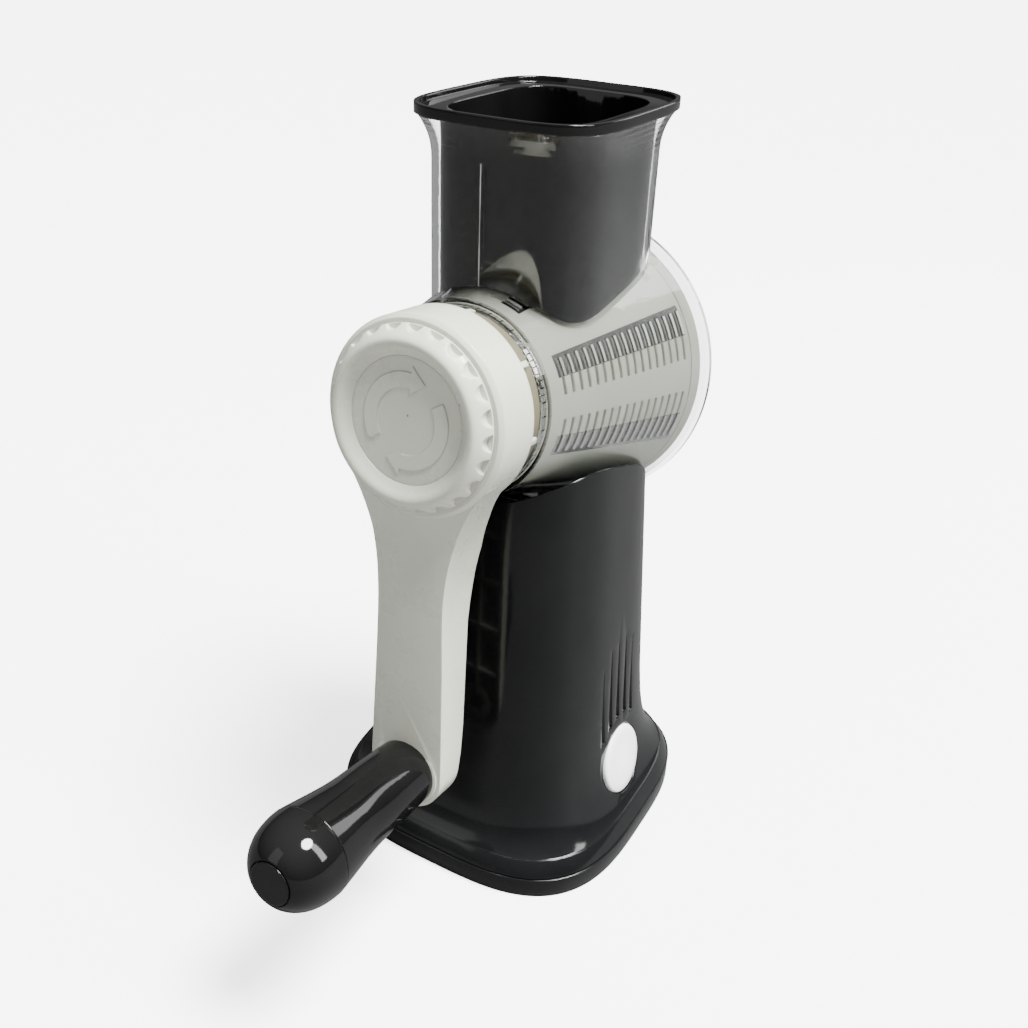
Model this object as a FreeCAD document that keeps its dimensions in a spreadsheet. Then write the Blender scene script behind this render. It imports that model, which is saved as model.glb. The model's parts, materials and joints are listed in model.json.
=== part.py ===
"""Rotary cheese grater: crank-driven drum in a clear hopper housing on a suction-foot body.

World frame in millimetres: +Z up, the crank towards -Y, the outlet towards +Y, origin at the
middle of the face that rests on the table.  Everything that lies on the drum's axis is drawn
in the head frame: its origin is on the drum axis, its Y axis runs along the drum to the
outlet, and HEAD places it in the world with the outlet end tipped down.
"""
import FreeCAD, Part
import math
import os
import re

import Sketcher
from FreeCAD import Placement, Rotation, Vector

os.makedirs("parts", exist_ok=True)
doc = FreeCAD.newDocument("rotary_cheese_grater")

# ---------------------------------------------------------------- driving dimensions

DIMENSIONS = {
    # drum axis
    "axis_height": 200.1,
    "tilt": 8.0,
    "running_gap": 0.05,
    "part_gap": 0.3,
    # foot and column
    "foot_half": 67.0,
    "foot_power": 3.2,
    "base_centre": -3.5,
    "foot_height": 9.0,
    "shoulder_height": 15.6,
    "shoulder_inset": 4.1,
    "foot_wall": 9.0,
    "column_foot_half": 53.2,
    "column_taper": 0.0617,
    "column_flare": 9.3,
    "flare_length": 11.5,
    "column_top": 184.4,
    "column_wall": 3.0,
    # clear housing
    "mouth_along": -54.1,
    "outlet_along": 40.0,
    "mouth_radius": 34.4,
    "outlet_radius": 57.0,
    "bead": 0.8,
    "bead_width": 2.6,
    "barrel_wall": 2.0,
    "bush_bore": 33.2,
    "bush_end": -49.2,
    "hopper_half_x": 32.2,
    "hopper_half_y": 40.0,
    "hopper_power": 4.0,
    "hopper_centre": 4.6,
    "hopper_wall": 2.0,
    "collar_start": 282.0,
    "collar_top": 296.3,
    "collar_half_x": 36.4,
    "collar_half_y": 44.2,
    "tongue_half_x": 13.0,
    "tongue_half_y": 15.0,
    "tongue_bottom": 140.0,
    # pusher
    "pusher_gap": 0.5,
    "pusher_wall": 2.2,
    "rim_half_x": 37.2,
    "rim_half_y": 45.0,
    "rim_bottom": 296.6,
    "rim_top": 300.0,
    "rim_lip": 1.6,
    "ledge_depth": 2.0,
    "pusher_clearance": 3.4,
    # drum
    "drum_gap": 1.2,
    "drum_wall": 2.4,
    "collar_front": -62.4,
    "collar_radius": 32.2,
    "drum_shoulder": -48.4,
    "drum_rear": 37.5,
    "rear_band": 31.5,
    "band_depth": 1.6,
    "boss_radius": 12.0,
    "boss_front": -59.2,
    "boss_rear": -40.5,
    "socket_side": 14.0,
    "socket_end": -53.5,
    "insert_radius": 5.5,
    "slot_count": 17,
    "slot_start": -41.2,
    "slot_pitch": 4.25,
    "slot_width": 1.5,
    "slot_sweep": 23.0,
    "blade_sweep": 13.0,
    "blade_thick": 0.8,
    "row_pairs": 4,
    "pair_middle": 6.0,
    "pair_half": 7.0,
    # crank
    "head_rear": -62.7,
    "head_rear_radius": 34.8,
    "head_front": -82.1,
    "head_front_radius": 33.7,
    "crank_wall": 2.6,
    "crank_length": 145.3,
    "hub_radius": 13.0,
    "bolt_radius": 4.0,
    "spigot_end": -54.2,
    "grip_collar_radius": 14.3,
    "grip_collar_front": -69.0,
    "spindle_radius": 4.0,
    # lock knob
    "knob_rear": -82.3,
    "knob_front": -88.6,
    "knob_radius": 31.4,
    "knob_face_radius": 27.4,
    "knob_dish_radius": 21.5,
    "knob_dish": -85.3,
    "knob_lip_radius": 24.9,
    "knob_rim": 1.3,
    "scallop_count": 24,
    "scallop_radius": 3.1,
    "scallop_offset": 1.0,
    "scallop_end": -83.0,
    "bolt_head_radius": 9.0,
    "bolt_head_front": -84.0,
    "bolt_end": -43.5,
    # grip
    "grip_rear": -69.3,
    "grip_seam": -127.0,
    "grip_end": -146.2,
    "grip_core": 9.0,
    "spindle_root": -55.0,
    "spindle_end": -119.5,
    "spindle_screw_radius": 7.5,
    "spindle_screw_head": 3.5,
    "disc_rear": -144.2,
    "disc_radius": 8.0,
    "grip_seam_gap": 0.2,
    # suction foot
    "plate_bottom": 8.4,
    "plate_top": 11.6,
    "cup_radius": 50.0,
    "cup_bottom": 0.0,
    "stem_radius": 4.0,
    "stem_bottom": 2.8,
    "stem_flange_radius": 9.2,
    "dial_height": 34.0,
    "dial_reach": 54.4,
    "dial_tilt": 13.3,
    "dial_radius": 15.0,
    "shaft_radius": 4.0,
    "cam_radius": 7.5,
    "cam_throw": 3.5,
    "cam_pin_radius": 2.5,
    "yoke_bottom": 13.0,
    "yoke_top": 29.0,
    "dial_back": -3.6,
    "shaft_inner": -46.0,
    "clip_rear": -20.5,
}


def cone_radius(along, offset=0.0):
    """Outside radius of the clear barrel at a place along the drum axis, less an offset."""
    slope = (DIMENSIONS["outlet_radius"] - DIMENSIONS["mouth_radius"]) / (
        DIMENSIONS["outlet_along"] - DIMENSIONS["mouth_along"]
    )
    return DIMENSIONS["mouth_radius"] + slope * (along - DIMENSIONS["mouth_along"]) - offset


DRUM_OFFSET = DIMENSIONS["barrel_wall"] + DIMENSIONS["drum_gap"]
STRIP_MARGIN = 1.4
STRIP_FRONT = DIMENSIONS["slot_start"] - STRIP_MARGIN
STRIP_REAR = STRIP_FRONT + DIMENSIONS["slot_pitch"] * DIMENSIONS["slot_count"]
DERIVED = {
    "drum_front_radius": cone_radius(DIMENSIONS["drum_shoulder"], DRUM_OFFSET),
    "drum_band_radius": cone_radius(DIMENSIONS["rear_band"], DRUM_OFFSET),
    "drum_rear_radius": cone_radius(DIMENSIONS["drum_rear"], DRUM_OFFSET),
    "socket_half": DIMENSIONS["socket_side"] / 2,
    "slot_run": DIMENSIONS["slot_pitch"] * (DIMENSIONS["slot_count"] - 1),
    "ring_front_radius": cone_radius(DIMENSIONS["rear_band"] + 0.5, DRUM_OFFSET),
    "strip_front": STRIP_FRONT,
    "strip_rear": STRIP_REAR,
    "strip_front_radius": cone_radius(STRIP_FRONT, DRUM_OFFSET),
    "strip_rear_radius": cone_radius(STRIP_REAR, DRUM_OFFSET),
}

sheet = doc.addObject("Spreadsheet::Sheet", "sizes")
for row, (alias, number) in enumerate({**DIMENSIONS, **DERIVED}.items(), start=1):
    sheet.set("A%d" % row, alias)
    sheet.set("B%d" % row, "%.4f" % number)
    sheet.setAlias("B%d" % row, alias)
doc.recompute()


def size(alias):
    """The number in a cell of the sheet."""
    return float(sheet.get(alias))


def bound(text):
    """A sum written with cell names, as an expression on the sheet."""
    return re.sub(r"[a-z][a-z_]*", lambda word: "sizes." + word.group(0), text)


def worked_out(text):
    """The number that a sum of cells and numbers comes to."""
    total = 0.0
    for sign, term in re.findall(r"([+-]?) *([a-z_]+|[0-9.]+)", text):
        number = size(term) if term[0].isalpha() else float(term)
        total += -number if sign == "-" else number
    return total


# ---------------------------------------------------------------- frames

HEAD = Placement(Vector(0, 0, size("axis_height")), Rotation(Vector(1, 0, 0), -size("tilt")))
UPRIGHT = Placement(Vector(0, size("base_centre"), 0), Rotation(Vector(1, 0, 0), 90))
CRANK_PIN = HEAD.multiply(Placement(Vector(0, 0, -size("crank_length")), Rotation()))
DIAL = Placement(
    Vector(size("dial_reach"), size("base_centre"), size("dial_height")),
    Rotation(Vector(0, 1, 0), -size("dial_tilt")).multiply(Rotation(Vector(0, 0, 1), -90)),
)

SUBPARTS = []


def finished(item, placement=None):
    """Set where a sub-part goes and put it on the list of those that are written out."""
    if placement is not None:
        item.Placement = placement
    SUBPARTS.append(item)
    return item


# ---------------------------------------------------------------- helpers


def origin_plane(body, role):
    """One of a body's own origin planes."""
    return next(item for item in body.Origin.OriginFeatures if item.Role == role)


def sketch_on(body, name, role="XY_Plane"):
    sketch = body.newObject("Sketcher::SketchObject", name)
    sketch.AttachmentSupport = [(origin_plane(body, role), "")]
    sketch.MapMode = "FlatFace"
    return sketch


def hold(sketch, kind, line, text):
    """Hold one line's start at a distance from the origin that a sum of cells gives."""
    number = worked_out(text)
    index = sketch.addConstraint(Sketcher.Constraint(kind, -1, 1, line, 1, number))
    if number:
        sketch.setExpression("Constraints[%d]" % index, bound(text))


def outline(sketch, corners):
    """Draw a closed outline of straight lines, each corner held by two sums of cells."""
    points = [Vector(worked_out(across), worked_out(up), 0) for across, up in corners]
    first = sketch.GeometryCount
    for start, end in zip(points, points[1:] + points[:1]):
        sketch.addGeometry(Part.LineSegment(start, end), False)
    last = sketch.GeometryCount - 1
    for line in range(first, last + 1):
        following = first if line == last else line + 1
        sketch.addConstraint(Sketcher.Constraint("Coincident", line, 2, following, 1))
    for line, (across, up) in enumerate(corners, start=first):
        hold(sketch, "DistanceX", line, across)
        hold(sketch, "DistanceY", line, up)


def turned(label, profile):
    """A body spun about its Y axis from corners given as (radius, along)."""
    body = doc.addObject("PartDesign::Body", label)
    sketch = sketch_on(body, label + "_profile")
    outline(sketch, profile)
    spin = body.newObject("PartDesign::Revolution", label + "_spin")
    spin.Profile = sketch
    spin.ReferenceAxis = (sketch, ["V_Axis"])
    spin.Angle = 360
    sketch.Visibility = False
    doc.recompute()
    return body


def superellipse(half_x, half_y, power, middle_y, height, steps=40):
    """A closed smooth wire round a rounded-square plan outline."""
    points = []
    for step in range(steps):
        angle = 2 * math.pi * step / steps
        cosine, sine = math.cos(angle), math.sin(angle)
        reach = (abs(cosine) ** power + abs(sine) ** power) ** (-1 / power)
        points.append(Vector(half_x * reach * cosine, middle_y + half_y * reach * sine, height))
    curve = Part.BSplineCurve()
    curve.interpolate(Points=points, PeriodicFlag=True)
    return Part.Wire([curve.toShape()])


def loft(wires):
    """A solid through closed wires, straight from each to the next."""
    return Part.makeLoft(wires, True, True)


def prism(half_x, half_y, power, middle_y, bottom, top):
    """A straight column with a rounded-square plan."""
    return loft([superellipse(half_x, half_y, power, middle_y, z) for z in (bottom, top)])


def spun(points, placement=None):
    """A solid of revolution about the Y axis from (radius, along) corners."""
    corners = [Vector(radius, along, 0) for radius, along in points]
    face = Part.Face(Part.makePolygon(corners + corners[:1]))
    solid = face.revolve(Vector(0, 0, 0), Vector(0, 1, 0), 360)
    if placement is not None:
        solid.Placement = placement
    return solid


def barrel_cone(offset, start=-80.0, end=90.0):
    """The barrel's cone, grown by an offset, as a solid in the world frame."""
    return spun(
        [
            (0, start),
            (cone_radius(start) + offset, start),
            (cone_radius(end) + offset, end),
            (0, end),
        ],
        HEAD,
    )


def smooth_spun(points, end, placement):
    """A solid of revolution about the Y axis under a smooth curve through (radius, along) points."""
    curve = Part.BSplineCurve()
    curve.interpolate([Vector(radius, along, 0) for radius, along in points])
    first, last = points[0], points[-1]
    corners = [
        Vector(last[0], last[1], 0),
        Vector(last[0], end, 0),
        Vector(0, end, 0),
        Vector(0, first[1], 0),
        Vector(first[0], first[1], 0),
    ]
    edges = [curve.toShape()]
    edges += [Part.LineSegment(a, b).toShape() for a, b in zip(corners, corners[1:])]
    solid = Part.Face(Part.Wire(edges)).revolve(Vector(0, 0, 0), Vector(0, 1, 0), 360)
    solid.Placement = placement
    return solid


def shaped(label, shape, placement=None):
    """A sub-part whose shape comes from Part's own functions."""
    item = doc.addObject("Part::Feature", label)
    item.Shape = shape
    return finished(item, placement)


# ---------------------------------------------------------------- foot

foot_outer = prism(
    size("foot_half"), size("foot_half"), size("foot_power"), size("base_centre"), 0, size("foot_height")
)
foot_inner_half = size("foot_half") - size("foot_wall")
foot_inner = prism(
    foot_inner_half, foot_inner_half, size("foot_power"), size("base_centre"), -1, size("foot_height") + 1
)
SCREW_SPREAD = 0.74 * size("foot_half")
SCREW_HEAD_RADIUS = 3.0
SCREW_SHANK = 1.5
SCREW_HEAD = [
    (0, 0.8),
    (SCREW_HEAD_RADIUS, 0.8),
    (SCREW_HEAD_RADIUS, 2.8),
    (SCREW_SHANK, 2.8),
    (SCREW_SHANK, 11.0),
    (0, 11.0),
]
screw_shapes = []
for side_x in (-1, 1):
    for side_y in (-1, 1):
        spot = Vector(side_x * SCREW_SPREAD, size("base_centre") + side_y * SCREW_SPREAD, 0)
        screw_shapes.append(spun(SCREW_HEAD, Placement(spot, Rotation(Vector(1, 0, 0), 90))))
foot_screws = Part.makeCompound(screw_shapes)
screw_wells = [shape.copy() for shape in screw_shapes]
for screw in screw_shapes:
    middle = screw.BoundBox.Center
    well = Part.makeCylinder(SCREW_HEAD_RADIUS, 0.9, Vector(middle.x, middle.y, -0.05))
    screw_wells.append(well)
foot_ring = foot_outer.cut([foot_inner] + screw_wells)
shaped("foot_ring", foot_ring)
shaped("foot_screws", foot_screws)


# ---------------------------------------------------------------- body housing


def column_half(height):
    """Half the column's width at a height: a straight taper that flares into the foot."""
    above = height - size("shoulder_height")
    flare = size("column_flare") * math.exp(-above / size("flare_length"))
    return size("column_foot_half") - size("column_taper") * above + flare


FLARE_RISES = (0, 1.5, 3, 5, 7.5, 10.5, 14, 18.5, 24, 32, 45)


def column(inset):
    """The column as a solid, drawn in by the wall's thickness where it is the hollow."""
    base = size("shoulder_height")
    top = size("column_top") + 20
    wires = []
    for height in [base + rise for rise in FLARE_RISES] + [top]:
        half = column_half(height) - inset
        wires.append(superellipse(half, half, size("foot_power"), size("base_centre"), height))
    return loft(wires)


def shoulder(inset):
    """The band between the foot's seam and the start of the column."""
    bottom = size("foot_height") + size("part_gap")
    low = size("foot_half") - 0.5 - inset
    high = size("foot_half") - size("shoulder_inset") - inset
    return loft(
        [
            superellipse(low, low, size("foot_power"), size("base_centre"), bottom),
            superellipse(high, high, size("foot_power"), size("base_centre"), size("shoulder_height")),
        ]
    )


def below(height):
    """Everything under a level top."""
    return Part.makeBox(200, 200, height, Vector(-100, -100, 0))


# the saddle under the barrel, as (radius, along) on the drum's axis: closest to the barrel
# at the front and the outlet, and clear of the rolled edge there
SADDLE = (
    (37.2, -52.0),
    (40.1, -42.2),
    (43.4, -36.8),
    (45.6, -31.0),
    (47.4, -23.2),
    (49.6, -8.6),
    (51.9, 9.8),
    (54.7, 25.0),
    (58.4, 36.6),
)
SADDLE_END = 90.0


def saddle(grown):
    """The room for the barrel over the body, grown by an offset."""
    return smooth_spun([(radius + grown, along) for radius, along in SADDLE], SADDLE_END, HEAD)


outer = column(0).common(below(size("column_top"))).cut(saddle(0))
hollow_top = size("column_top") - size("column_wall")
hollow = column(size("column_wall")).common(below(hollow_top)).cut(saddle(size("column_wall")))
body_shell = outer.fuse(shoulder(0)).cut(hollow).cut(shoulder(size("column_wall")))

tongue = Part.makeBox(
    2 * size("tongue_half_x"),
    2 * size("tongue_half_y"),
    60,
    Vector(-size("tongue_half_x"), -size("tongue_half_y"), size("tongue_bottom")),
)
tongue_slot = Part.makeBox(
    2 * size("tongue_half_x") + 2 * size("part_gap"),
    2 * size("tongue_half_y") + 2 * size("part_gap"),
    60,
    Vector(
        -size("tongue_half_x") - size("part_gap"),
        -size("tongue_half_y") - size("part_gap"),
        size("tongue_bottom") - 1,
    ),
)
body_shell = body_shell.cut(tongue_slot)

# five pointed flutes over the dial: their lower ends follow a circle round it
FLUTE_PITCH = 6.8
FLUTE_CIRCLE = 20.5
FLUTE_LENGTH = 40.5
FLUTE_RADIUS = 1.7
for place in range(-2, 3):
    across = place * FLUTE_PITCH
    bottom = size("dial_height") + math.sqrt(FLUTE_CIRCLE ** 2 - across ** 2)
    top = bottom + FLUTE_LENGTH
    low = Vector(column_half(bottom), size("base_centre") + across, bottom)
    high = Vector(column_half(top), size("base_centre") + across, top)
    flute = Part.makeCone(FLUTE_RADIUS, 0.1, FLUTE_LENGTH, low, high - low)
    body_shell = body_shell.cut(flute)

DIAL_CLEARANCE = 0.4
dial_well = Part.makeCylinder(
    size("dial_radius") + DIAL_CLEARANCE, 14, Vector(0, -8, 0), Vector(0, 1, 0)
)
dial_well.Placement = DIAL
body_shell = body_shell.cut([dial_well] + screw_wells)
shaped("body_housing", body_shell)

# ---------------------------------------------------------------- clear housing

hopper_outer = prism(
    size("hopper_half_x"),
    size("hopper_half_y"),
    size("hopper_power"),
    size("hopper_centre"),
    size("axis_height"),
    size("collar_start") + 1,
)
COLLAR_STEPS = 6
COLLAR_CURVE = 2.2
COLLAR_RISE = size("collar_top") - size("collar_start")


def collar(inset):
    """The flared top of the hopper."""
    wires = []
    for step in range(COLLAR_STEPS + 1):
        height = step / COLLAR_STEPS
        grown = height ** COLLAR_CURVE
        half_x = size("hopper_half_x") + grown * (size("collar_half_x") - size("hopper_half_x"))
        half_y = size("hopper_half_y") + grown * (size("collar_half_y") - size("hopper_half_y"))
        wires.append(
            superellipse(
                half_x - inset,
                half_y - inset,
                size("hopper_power"),
                size("hopper_centre"),
                size("collar_start") + height * COLLAR_RISE,
            )
        )
    return loft(wires)


wall = size("hopper_wall")
hopper_inner = prism(
    size("hopper_half_x") - wall,
    size("hopper_half_y") - wall,
    size("hopper_power"),
    size("hopper_centre"),
    size("axis_height"),
    size("collar_start") + 1,
)
barrel_outer = spun(
    [
        (0, size("mouth_along")),
        (size("mouth_radius") + size("bead"), size("mouth_along")),
        (size("mouth_radius") + size("bead"), size("mouth_along") + size("bead_width")),
        (cone_radius(size("mouth_along") + size("bead_width")), size("mouth_along") + size("bead_width")),
        (cone_radius(size("outlet_along") - size("bead_width")), size("outlet_along") - size("bead_width")),
        (size("outlet_radius") + size("bead"), size("outlet_along") - size("bead_width")),
        (size("outlet_radius") + size("bead"), size("outlet_along")),
        (0, size("outlet_along")),
    ],
    HEAD,
)
barrel_inner = spun(
    [
        (0, size("mouth_along") - 1),
        (size("bush_bore"), size("mouth_along") - 1),
        (size("bush_bore"), size("bush_end")),
        (cone_radius(size("bush_end"), size("barrel_wall")), size("bush_end")),
        (cone_radius(size("outlet_along") + 40, size("barrel_wall")), size("outlet_along") + 40),
        (0, size("outlet_along") + 40),
    ],
    HEAD,
)
tongue_upper = tongue.cut(barrel_cone(-0.5))
tongue_upper = min(tongue_upper.Solids, key=lambda solid: solid.BoundBox.ZMin)
clear_housing = barrel_outer.fuse([hopper_outer, collar(0)]).cut([hopper_inner, collar(wall)])
clear_housing = clear_housing.fuse(tongue_upper).cut(barrel_inner)
shaped("clear_housing", clear_housing)

# the smooth ring that the drum's collar runs in, pressed into the mouth
front_bush = turned(
    "front_bush",
    [
        ("collar_radius + running_gap", "mouth_along"),
        ("bush_bore", "mouth_along"),
        ("bush_bore", "bush_end"),
        ("collar_radius + running_gap", "bush_end"),
    ],
)
finished(front_bush, HEAD)

# ---------------------------------------------------------------- pusher

pusher_half_x = size("hopper_half_x") - wall - size("pusher_gap")
pusher_half_y = size("hopper_half_y") - wall - size("pusher_gap")


def hopper_prism(half_x, half_y, bottom, top):
    return prism(half_x, half_y, size("hopper_power"), size("hopper_centre"), bottom, top)


pusher_body = hopper_prism(pusher_half_x, pusher_half_y, size("axis_height"), size("rim_bottom") + 1)
pusher_rim = hopper_prism(size("rim_half_x"), size("rim_half_y"), size("rim_bottom"), size("rim_top"))
rim_inset = size("rim_lip")
pusher_mouth = hopper_prism(
    size("rim_half_x") - rim_inset,
    size("rim_half_y") - rim_inset,
    size("rim_top") - size("ledge_depth"),
    size("rim_top") + 1,
)
pusher_hollow = hopper_prism(
    pusher_half_x - size("pusher_wall"),
    pusher_half_y - size("pusher_wall"),
    size("axis_height"),
    size("rim_top"),
)
pusher_hollow = pusher_hollow.cut(barrel_cone(size("pusher_clearance")))
pusher = pusher_body.fuse(pusher_rim).cut([pusher_mouth, pusher_hollow])
pusher = pusher.cut(barrel_cone(size("pusher_clearance") - size("pusher_wall") - size("barrel_wall")))
shaped("pusher", pusher)

# ---------------------------------------------------------------- drum

drum_cone = turned(
    "drum_cone",
    [
        ("insert_radius", "boss_front"),
        ("boss_radius", "boss_front"),
        ("boss_radius", "drum_shoulder - 3"),
        ("collar_radius - drum_wall", "drum_shoulder - 3"),
        ("collar_radius - drum_wall", "collar_front"),
        ("collar_radius", "collar_front"),
        ("collar_radius", "drum_shoulder"),
        ("drum_front_radius", "drum_shoulder"),
        ("drum_band_radius", "rear_band"),
        ("drum_band_radius - band_depth", "rear_band"),
        ("drum_rear_radius - band_depth", "drum_rear"),
        ("drum_rear_radius - band_depth - drum_wall", "drum_rear"),
        ("drum_band_radius - band_depth - drum_wall", "rear_band"),
        ("drum_front_radius - drum_wall", "drum_shoulder + 1"),
        ("boss_radius", "drum_shoulder + 1"),
        ("boss_radius", "boss_rear"),
        ("insert_radius", "boss_rear"),
    ],
)


def square_pocket(body, name, half, front, depth):
    """A square blind hole into a turned body, from a place along its axis towards +Y."""
    sketch = sketch_on(body, name + "_plan", "XZ_Plane")
    sketch.AttachmentOffset = Placement(Vector(0, 0, -worked_out(front)), Rotation())
    minus = "-" + half
    outline(sketch, [(minus, minus), (half, minus), (half, half), (minus, half)])
    pocket = body.newObject("PartDesign::Pocket", name)
    pocket.Profile = sketch
    pocket.setExpression("Length", bound(depth))
    sketch.Visibility = False
    doc.recompute()
    return pocket


def part_groove(body, name, profile, middle_angle, sweep):
    """A groove through part of a turn, centred on an angle from +X towards +Z."""
    sketch = sketch_on(body, name + "_profile")
    sketch.AttachmentOffset = Placement(Vector(), Rotation(Vector(0, 1, 0), -middle_angle))
    outline(sketch, profile)
    groove = body.newObject("PartDesign::Groove", name)
    groove.Profile = sketch
    groove.ReferenceAxis = (sketch, ["V_Axis"])
    groove.Midplane = True
    groove.setExpression("Angle", bound(sweep))
    sketch.Visibility = False
    doc.recompute()
    return groove


drum_sketch = doc.getObject("drum_cone_profile")
square_pocket(drum_cone, "drum_socket", "socket_half", "boss_front", "socket_end - boss_front")

# rows of slots in mirrored pairs, each with a steel strip let into the end away from its twin
ROW_MIDDLE = size("pair_half") + size("slot_sweep") / 2
STRIP_MIDDLE = size("pair_half") + size("slot_sweep") - size("blade_sweep") / 2
slot_profile = [
    ("boss_radius + 8", "slot_start"),
    ("outlet_radius + 5", "slot_start"),
    ("outlet_radius + 5", "slot_start + slot_width"),
    ("boss_radius + 8", "slot_start + slot_width"),
]
recess_profile = [
    ("strip_front_radius - blade_thick", "strip_front"),
    ("strip_front_radius + 2", "strip_front"),
    ("strip_rear_radius + 2", "strip_rear"),
    ("strip_rear_radius - blade_thick", "strip_rear"),
]
slots = []
recesses = []
for name, side in (("upper", 1), ("lower", -1)):
    recess_angle = size("pair_middle") + side * STRIP_MIDDLE
    recesses.append(
        part_groove(drum_cone, name + "_recess", recess_profile, recess_angle, "blade_sweep")
    )
    slot_angle = size("pair_middle") + side * ROW_MIDDLE
    slots.append(part_groove(drum_cone, name + "_slot", slot_profile, slot_angle, "slot_sweep"))

recess_turns = drum_cone.newObject("PartDesign::PolarPattern", "recess_turns")
recess_turns.Originals = recesses
recess_turns.Axis = (drum_sketch, ["V_Axis"])
recess_turns.Angle = 360
recess_turns.setExpression("Occurrences", bound("row_pairs"))
drum_cone.Tip = recess_turns
doc.recompute()

slot_grid = drum_cone.newObject("PartDesign::MultiTransform", "slot_grid")
slot_grid.Originals = slots
along = drum_cone.newObject("PartDesign::LinearPattern", "slots_along")
along.Direction = (drum_sketch, ["V_Axis"])
along.setExpression("Length", bound("slot_run"))
along.setExpression("Occurrences", bound("slot_count"))
around = drum_cone.newObject("PartDesign::PolarPattern", "slots_around")
around.Axis = (drum_sketch, ["V_Axis"])
around.Angle = 360
around.setExpression("Occurrences", bound("row_pairs"))
slot_grid.Transformations = [along, around]
drum_cone.Tip = slot_grid
doc.recompute()
finished(drum_cone, HEAD)


def part_turn(points, middle_angle, sweep):
    """A solid spun through part of a turn, centred on an angle from +X towards +Z."""
    corners = [Vector(radius, along, 0) for radius, along in points]
    face = Part.Face(Part.makePolygon(corners + corners[:1]))
    solid = face.revolve(Vector(0, 0, 0), Vector(0, 1, 0), -sweep)
    solid.rotate(Vector(0, 0, 0), Vector(0, 1, 0), -(middle_angle - sweep / 2))
    return solid


def slot_cutter(middle_angle, number):
    start = size("slot_start") + number * size("slot_pitch")
    end = start + size("slot_width")
    inner, outer = size("boss_radius") + 8, size("outlet_radius") + 5
    corners = [(inner, start), (outer, start), (outer, end), (inner, end)]
    return part_turn(corners, middle_angle, size("slot_sweep"))


# steel strips with a tooth between each pair of slots, joined along one edge
STRIP_SPINE = 2.0
strip_corners = [
    (size("strip_front_radius") - size("blade_thick"), size("strip_front")),
    (size("strip_front_radius"), size("strip_front")),
    (size("strip_rear_radius"), size("strip_rear")),
    (size("strip_rear_radius") - size("blade_thick"), size("strip_rear")),
]
strips = []
for side in (-1, 1):
    strip = part_turn(strip_corners, size("pair_middle") + side * STRIP_MIDDLE, size("blade_sweep"))
    cutters = [
        slot_cutter(size("pair_middle") + side * (ROW_MIDDLE - STRIP_SPINE), number)
        for number in range(int(size("slot_count")))
    ]
    strip = strip.cut(cutters)
    for pair in range(int(size("row_pairs"))):
        copy = strip.copy()
        copy.rotate(Vector(0, 0, 0), Vector(0, 1, 0), 360 * pair / size("row_pairs"))
        strips.append(copy)
shaped("drum_blades", Part.makeCompound(strips), HEAD)

# the plain ring that closes the drum at the outlet and runs inside the housing
drum_rear_ring = turned(
    "drum_rear_ring",
    [
        ("ring_front_radius - band_depth", "rear_band + 0.5"),
        ("ring_front_radius", "rear_band + 0.5"),
        ("drum_rear_radius", "drum_rear"),
        ("drum_rear_radius - band_depth", "drum_rear"),
    ],
)
finished(drum_rear_ring, HEAD)

# brass bush in the drum's boss that the lock bolt's thread grips
thread_insert = turned(
    "thread_insert",
    [
        ("bolt_radius + running_gap", "socket_end"),
        ("insert_radius", "socket_end"),
        ("insert_radius", "boss_rear"),
        ("bolt_radius + running_gap", "boss_rear"),
    ],
)
finished(thread_insert, HEAD)

# ---------------------------------------------------------------- crank


def waist(inset):
    """The crank's front outline under the head: sides that draw in, then swell to the pin."""
    radius = ARM_END_RADIUS - inset
    centre = Vector(0, 0, -size("crank_length"))
    right = [Vector(half - inset, 0, down) for half, down in ARM_SIDES]
    left = [Vector(-point.x, 0, point.z) for point in reversed(right)]
    tip_right = centre + Vector(radius, 0, 0)
    tip_left = centre - Vector(radius, 0, 0)
    tip = centre - Vector(0, 0, radius)
    side_right = Part.BSplineCurve()
    side_right.interpolate(right + [tip_right])
    side_left = Part.BSplineCurve()
    side_left.interpolate([tip_left] + left)
    edges = [
        side_right.toShape(),
        Part.Arc(tip_right, tip, tip_left).toShape(),
        side_left.toShape(),
        Part.LineSegment(left[-1], right[0]).toShape(),
    ]
    return Part.Face(Part.Wire(edges))


def arm_side(front_inset):
    """The arm seen from the side: its front leans back from the head to the pin."""
    front = [Vector(0, along + front_inset, down) for along, down in ARM_FRONT]
    rear = [Vector(0, along, down) for along, down in ARM_REAR]
    corners = front + rear[::-1]
    return Part.Face(Part.makePolygon(corners + corners[:1]))


ARM_END_RADIUS = 15.8
ARM_SIDES = ((29.5, -18), (21.5, -31), (16.6, -45), (13.9, -64), (14.1, -86), (15.2, -120))
ARM_FRONT = (
    (-81.6, -8),
    (-79.6, -24),
    (-76.3, -45),
    (-74.9, -66),
    (-72.1, -95),
    (-68.8, -138),
    (-67.0, -165),
)
ARM_REAR = (
    (-62.7, -8),
    (-62.7, -24),
    (-57.5, -37),
    (-54.5, -50),
    (-55.0, -66),
    (-56.0, -80),
    (-55.5, -95),
    (-54.2, -125),
    (-54.4, -138),
    (-55.8, -150),
    (-57.8, -165),
)
ARM_WIDTH = 80

arm_plan = waist(0).extrude(Vector(0, 60, 0))
arm_plan.translate(Vector(0, -90, 0))
arm_solid = arm_side(0).extrude(Vector(ARM_WIDTH, 0, 0))
arm_solid.translate(Vector(-ARM_WIDTH / 2, 0, 0))
arm = arm_solid.common(arm_plan)

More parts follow.
